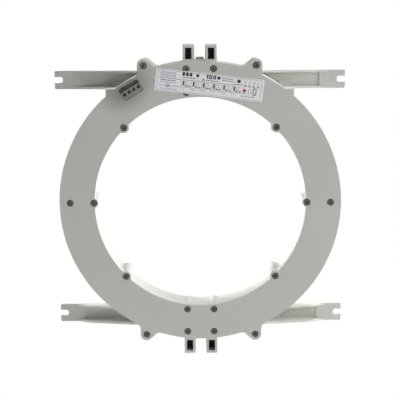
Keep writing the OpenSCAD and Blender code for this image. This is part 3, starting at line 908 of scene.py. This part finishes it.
@dataclass
class Label:
    """The printed film: a card with plain bars, boxes and digits.

    Attributes:
        node: The CAD node of the film.
        proud: How far the ink lies in front of the film, in metres.
    """

    frame: dict
    node: str = "label"
    proud: float = 0.01 * MM
    _sheets: dict[Ink, bmesh.types.BMesh] = field(default_factory=dict)

    def __post_init__(self) -> None:
        """Works out the film's middle, tilt and size from its corners."""
        points = [v.co.copy() for v in self.frame["nodes"][self.node].data.vertices]
        left = min(points, key=lambda p: p.x)
        right = max(points, key=lambda p: p.x)
        top = max(points, key=lambda p: p.z)
        self.front = min(p.y for p in points)
        self.middle = (left + right) / 2
        down_right = right - left
        up_left = top - left
        self.across = Vector((right.x - top.x, 0.0, right.z - top.z)).normalized()
        self.upward = Vector((-self.across.z, 0.0, self.across.x))
        self.width = abs(down_right.dot(self.across))
        self.height = abs(up_left.dot(self.upward))

    def spot(self, x: float, y: float) -> Vector:
        """Point on the print.

        Args:
            x: Distance from the film's left edge, in millimetres.
            y: Distance above its lower edge, in millimetres.

        Returns:
            The point in the frame.
        """
        place = self.middle + self.across * (x * MM - self.width / 2)
        place += self.upward * (y * MM - self.height / 2)
        return Vector((place.x, self.front - self.proud, place.z))

    def patch(self, ink: Ink, corners: Iterable[tuple[float, float]]) -> None:
        """Adds a filled outline of one ink.

        Args:
            ink: The ink.
            corners: Its corners in the print's millimetres.
        """
        sheet = self._sheets.setdefault(ink, bmesh.new())
        verts = [sheet.verts.new(self.spot(x, y)) for x, y in corners]
        face = sheet.faces.new(verts)
        face.normal_update()
        if face.normal.dot(FRONT) < 0:
            face.normal_flip()

    def bar(self, ink: Ink, x: float, y: float, width: float, height: float) -> None:
        """Adds an upright rectangle from its lower left corner."""
        self.patch(ink, ((x, y), (x + width, y), (x + width, y + height), (x, y + height)))

    def box(self, ink: Ink, x: float, y: float, width: float, height: float, line: float) -> None:
        """Adds a rectangle of lines.

        Args:
            ink: The ink.
            x: Left edge.
            y: Lower edge.
            width: Width.
            height: Height.
            line: Width of the lines.
        """
        self.bar(ink, x, y, width, line)
        self.bar(ink, x, y + height - line, width, line)
        self.bar(ink, x, y + line, line, height - 2 * line)
        self.bar(ink, x + width - line, y + line, line, height - 2 * line)

    def disc(self, ink: Ink, x: float, y: float, radius: float) -> None:
        """Adds a round spot."""
        self.patch(ink, [(x + radius * math.cos(math.tau * i / 20), y + radius * math.sin(math.tau * i / 20))
                         for i in range(20)])

    def stroke(self, ink: Ink, start: tuple[float, float], end: tuple[float, float], line: float) -> None:
        """Adds a straight stroke with square ends.

        Args:
            ink: The ink.
            start: Where it starts.
            end: Where it ends.
            line: Its width.
        """
        a, b = Vector(start), Vector(end)
        along = (b - a).normalized() * line / 2
        side = Vector((-along.y, along.x))
        a, b = a - along, b + along
        self.patch(ink, [tuple(a - side), tuple(b - side), tuple(b + side), tuple(a + side)])

    def digits(self, ink: Ink, text: str, x: float, y: float, height: float) -> None:
        """Adds plain digits.

        Args:
            ink: The ink.
            text: The digits.
            x: Left edge.
            y: Lower edge.
            height: Height of a digit.
        """
        unit = height / 4
        for i, digit in enumerate(text):
            left = x + i * unit * 3.2
            for x0, y0, x1, y1 in DIGITS[digit]:
                self.stroke(ink, (left + x0 * unit, y + y0 * unit), (left + x1 * unit, y + y1 * unit),
                            unit * 0.5)

    def words(self, ink: Ink, x: float, y: float, lengths: Sequence[float], height: float) -> None:
        """Adds a row of short bars that stands for a line of small print.

        Args:
            ink: The ink.
            x: Left edge.
            y: Lower edge.
            lengths: Length of each bar.
            height: Height of the bars.
        """
        for length in lengths:
            self.bar(ink, x, y, length, height)
            x += length + height * 0.9

    def print_all(self) -> None:
        """Draws the whole print: frame, key, marks, table and terminal numbers."""
        self.box(Ink.FRAME, 2.0, 0.8, 97.0, 18.9, 0.28)
        self.key()
        self.marks()
        self.table()
        self.terminal_numbers()

    def key(self) -> None:
        """Draws the block at the left: three cells, two lines and rows of small print."""
        for i in range(3):
            left = 4.8 + 5.0 * i
            self.box(Ink.FRAME, left, 13.6, 3.8, 4.6, 0.5)
            self.bar(Ink.FRAME, left + 1.0, 15.0, 1.8, 0.5)
            self.bar(Ink.FRAME, left + 1.0, 16.4, 1.8, 0.5)
        self.bar(Ink.GREY, 3.0, 12.2, 20.6, 0.4)
        self.words(Ink.GREY, 4.8, 10.2, (5.4, 3.0, 4.4), 0.7)
        self.words(Ink.FRAME, 4.8, 8.4, (2.4, 5.0, 3.6, 2.4), 0.5)
        self.bar(Ink.GREY, 3.6, 5.4, 20.0, 0.35)
        self.box(Ink.GREY, 10.4, 4.2, 3.2, 3.0, 0.5)
        self.words(Ink.FRAME, 4.8, 2.4, (4.4, 2.2, 5.0, 3.0), 0.5)

    def marks(self) -> None:
        """Draws plain dark shapes along the top edge."""
        for i in range(3):
            self.bar(Ink.BLACK, 24.6 + 3.3 * i, 16.2, 2.5, 3.4)
        self.patch(Ink.BLACK, ((38.9, 15.4), (40.5, 17.6), (38.9, 19.8), (37.3, 17.6)))
        self.bar(Ink.BLACK, 47.4, 15.8, 1.4, 4.0)
        self.box(Ink.BLACK, 49.6, 15.8, 2.8, 4.0, 1.05)
        self.box(Ink.BLACK, 53.4, 16.0, 2.6, 3.6, 1.0)
        self.disc(Ink.BLACK, 58.6, 17.6, 1.5)
        self.bar(Ink.BLACK, 43.2, 13.9, 3.0, 0.9)
        self.bar(Ink.BLACK, 76.0, 15.2, 3.0, 3.0)

    def table(self) -> None:
        """Draws the small print and the six columns in the middle."""
        self.words(Ink.GREY, 25.0, 14.4, (3.4, 5.2, 2.4), 0.6)
        self.words(Ink.GREY, 47.6, 14.0, (3.0, 4.2, 2.2), 0.6)
        self.words(Ink.GREY, 62.0, 17.4, (2.6, 3.8, 2.2), 0.6)
        self.words(Ink.GREY, 62.0, 15.6, (4.4, 2.0, 3.0), 0.55)
        self.bar(Ink.GREY, 24.6, 12.4, 48.4, 0.35)
        self.words(Ink.GREY, 72.6, 13.2, (2.2, 3.4, 1.8), 0.6)
        for column in range(6):
            left = 25.2 + 9.5 * column
            self.bar(Ink.FRAME, left - 1.0, 3.2, 0.28, 9.0)
            self.box(Ink.FRAME, left + 2.8, 8.2, 3.0, 3.0, 0.3)
            self.bar(Ink.GREY, left + 0.4, 7.2, 1.6, 4.4)
            self.words(Ink.GREY, left + 2.6, 6.5, (2.4, 1.6), 1.0)
            self.digits(Ink.GREY, str(column % 5 + 1), left + 1.2, 3.2, 1.7)
        self.bar(Ink.FRAME, 24.6, 5.6, 57.0, 0.28)

    def terminal_numbers(self) -> None:
        """Draws the numbered terminals and the mark for the test circuit at the right."""
        for i in range(4):
            self.digits(Ink.GREY, str(i + 1), 83.2 + 3.9 * i, 15.4, 2.0)
            self.box(Ink.GREY, 83.0 + 3.9 * i, 12.2, 1.7, 1.7, 0.5)
        self.disc(Ink.RED, 83.4, 8.6, 1.6)
        self.bar(Ink.RED, 81.8, 5.8, 3.2, 0.5)
        self.box(Ink.GREY, 91.4, 5.2, 3.2, 6.4, 0.7)
        self.words(Ink.FRAME, 80.6, 3.0, (2.6, 3.0, 2.0, 3.4), 0.7)
        self.box(Ink.FRAME, 87.0, 6.6, 3.0, 3.6, 0.4)

    def build(self, film: bpy.types.Material, paint: Callable[[Finish], bpy.types.Material]) -> None:
        """Dresses the film and makes the print.

        Args:
            film: The film's material.
            paint: Gives the material of a finish.
        """
        dress(self.frame["nodes"][self.node], film)
        self.print_all()
        for ink, sheet in self._sheets.items():
            piece = object_of(f"print_{ink.value}", sheet)
            dress(piece, paint(INKS[ink]))
            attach(piece, "root")
            LOG.info("%s: print", piece.name)


# ---------------------------------------------------------------- studio

@dataclass
class Studio:
    """Floor, backdrop, lamps and camera.

    Attributes:
        distance: From the cover's front to the lens, in metres.
        tilt: How far the camera looks down, in degrees.
        lens: Focal length on a sensor 36 mm wide.
        roll: Turn of the camera about its own axis, in degrees.
        slide: Shift of the lens to the right and up, as shares of the frame's width.
        floor_drop: From the lowest point of the ring down to the floor, in metres.
        extent: Half the side of the floor, in metres.
    """

    distance: float = 1.0361
    tilt: float = 9.98
    lens: float = 98.52
    roll: float = -0.27
    slide: tuple[float, float] = (-0.31 / 400, 2.78 / 400)
    floor_drop: float = 0.35
    extent: float = 12.0

    def build(self) -> None:
        """Makes everything that isn't the object."""
        self.world()
        self.floor()
        self.lamps()
        self.camera()

    @staticmethod
    def white_to_rays(tree: bpy.types.NodeTree, seen: bpy.types.NodeSocket) -> None:
        """Feeds a factor that is 1 for camera, glossy and transmission rays.

        Args:
            tree: The node tree.
            seen: The socket that takes the factor.
        """
        path = tree.nodes.new("ShaderNodeLightPath")
        first = tree.nodes.new("ShaderNodeMath")
        first.operation = "MAXIMUM"
        second = tree.nodes.new("ShaderNodeMath")
        second.operation = "MAXIMUM"
        tree.links.new(path.outputs["Is Camera Ray"], first.inputs[0])
        tree.links.new(path.outputs["Is Glossy Ray"], first.inputs[1])
        tree.links.new(first.outputs[0], second.inputs[0])
        tree.links.new(path.outputs["Is Transmission Ray"], second.inputs[1])
        tree.links.new(second.outputs[0], seen)

    def world(self) -> None:
        """A dim grey world that looks white to the camera."""
        world = bpy.data.worlds.new("studio")
        bpy.context.scene.world = world
        world.use_nodes = True
        tree = world.node_tree
        tree.nodes.clear()
        out = tree.nodes.new("ShaderNodeOutputWorld")
        mix = tree.nodes.new("ShaderNodeMixShader")
        dim = tree.nodes.new("ShaderNodeBackground")
        white = tree.nodes.new("ShaderNodeBackground")
        dim.inputs["Color"].default_value = (1.0, 1.0, 1.0, 1.0)
        dim.inputs["Strength"].default_value = 0.04
        white.inputs["Color"].default_value = (1.0, 1.0, 1.0, 1.0)
        self.white_to_rays(tree, mix.inputs[0])
        tree.links.new(dim.outputs[0], mix.inputs[1])
        tree.links.new(white.outputs[0], mix.inputs[2])
        tree.links.new(mix.outputs[0], out.inputs["Surface"])

    def floor(self) -> None:
        """A pale floor below the ring."""
        low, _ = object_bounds()
        mesh = bmesh.new()
        bmesh.ops.create_grid(mesh, x_segments=8, y_segments=8, size=self.extent)
        bmesh.ops.translate(mesh, verts=mesh.verts, vec=(0.0, 0.0, low.z - self.floor_drop))
        floor = object_of("floor", mesh)
        material = bpy.data.materials.new("pale_floor")
        material.use_nodes = True
        tree = material.node_tree
        shader = tree.nodes["Principled BSDF"]
        shader.inputs["Base Color"].default_value = (0.8, 0.8, 0.8, 1.0)
        shader.inputs["Roughness"].default_value = 0.8
        glow = tree.nodes.new("ShaderNodeEmission")
        glow.inputs["Color"].default_value = (1.0, 1.0, 1.0, 1.0)
        mix = tree.nodes.new("ShaderNodeMixShader")
        self.white_to_rays(tree, mix.inputs[0])
        tree.links.new(shader.outputs[0], mix.inputs[1])
        tree.links.new(glow.outputs[0], mix.inputs[2])
        tree.links.new(mix.outputs[0], tree.nodes["Material Output"].inputs["Surface"])
        floor.data.materials.append(material)
        floor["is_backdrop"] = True

    @staticmethod
    def lamp(name: str, spot: tuple[float, float, float], size: float, power: float) -> None:
        """Adds a square soft lamp that looks at the ring.

        Args:
            name: The lamp's name.
            spot: Its place.
            size: Its side, in metres.
            power: Its power, in watts.
        """
        data = bpy.data.lights.new(name, "AREA")
        data.shape = "SQUARE"
        data.size = size
        data.energy = power
        lamp = bpy.data.objects.new(name, data)
        lamp.location = spot
        lamp.rotation_mode = "QUATERNION"
        lamp.rotation_quaternion = Vector(spot).to_track_quat("Z", "Y")
        bpy.context.scene.collection.objects.link(lamp)

    def lamps(self) -> None:
        """A lamp that grazes the front, a weak one before it, and lamps above and behind the ring."""
        self.lamp("right_side", (1.6, -0.35, 0.5), 0.9, 35.0)
        self.lamp("front_fill", (-0.3, -1.5, 0.3), 0.8, 0.8)
        self.lamp("overhead", (0.25, -0.25, 1.5), 1.4, 6.4)
        self.lamp("rear_left", (-1.34, 0.4, 0.2), 0.8, 40.0)
        self.lamp("rear_right", (1.34, 0.4, 0.2), 0.8, 17.0)
        self.lamp("rear_top", (0.2, 0.6, 1.4), 1.2, 12.0)

    def camera(self) -> None:
        """The camera, which looks slightly down on the cover's middle."""
        data = bpy.data.cameras.new("camera")
        data.lens = self.lens
        data.sensor_width = 36.0
        data.shift_x, data.shift_y = self.slide
        data.clip_start, data.clip_end = 0.05, 50.0
        camera = bpy.data.objects.new("camera", data)
        aim = Vector((0.0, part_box("front_cover")[0].y, 0.0))
        tilt = math.radians(self.tilt)
        back = Vector((0.0, -math.cos(tilt), math.sin(tilt)))
        camera.rotation_mode = "QUATERNION"
        level = back.to_track_quat("Z", "Y")
        camera.rotation_quaternion = level @ Matrix.Rotation(math.radians(self.roll), 3, "Z").to_quaternion()
        camera.location = aim + back * self.distance
        bpy.context.scene.collection.objects.link(camera)
        bpy.context.scene.camera = camera


def corners(bounds: tuple[Vector, Vector]) -> list[list[float]]:
    """Both corners of a box as plain lists of numbers."""
    return [list(bounds[0]), list(bounds[1])]


def main(frame: dict) -> None:
    """Builds the looks of the whole transformer.
    """
    logging.basicConfig(level=logging.INFO, format="%(name)s %(message)s")
    bpy.context.scene.view_settings.view_transform = "Standard"
    effects = Effects.build()
    made: dict[str, bpy.types.Material] = {}

    def paint(finish: Finish) -> bpy.types.Material:
        """Material of a finish, built at its first use."""
        if finish.name not in made:
            made[finish.name] = finish.build(effects)
        return made[finish.name]

    # Painted shade round the terminal row, laid on the cover and on the terminal block.
    terminal_shade_patch = ShadePatch.at_terminals((17 * MM, 5 * MM, 23 * MM), 0.66)
    Shells(frame).build(SHELL.build(effects, terminal_shade_patch), paint(SHELL), paint(BLACK_PLASTIC))
    CoverScrews(frame).build(paint(DARK_STEEL), paint(RECESS_SHADE_PAINT))
    Terminals(frame).build(paint(CLAMP_STEEL), paint(RECESS_SHADE_PAINT), paint(ZINC),
                           BLOCK.build(effects, terminal_shade_patch))
    Coil(frame).build(paint)
    Label(frame).build(paint(FILM), paint)
    Studio().build()


if __name__ == "__main__":
    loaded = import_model()
    main(loaded)
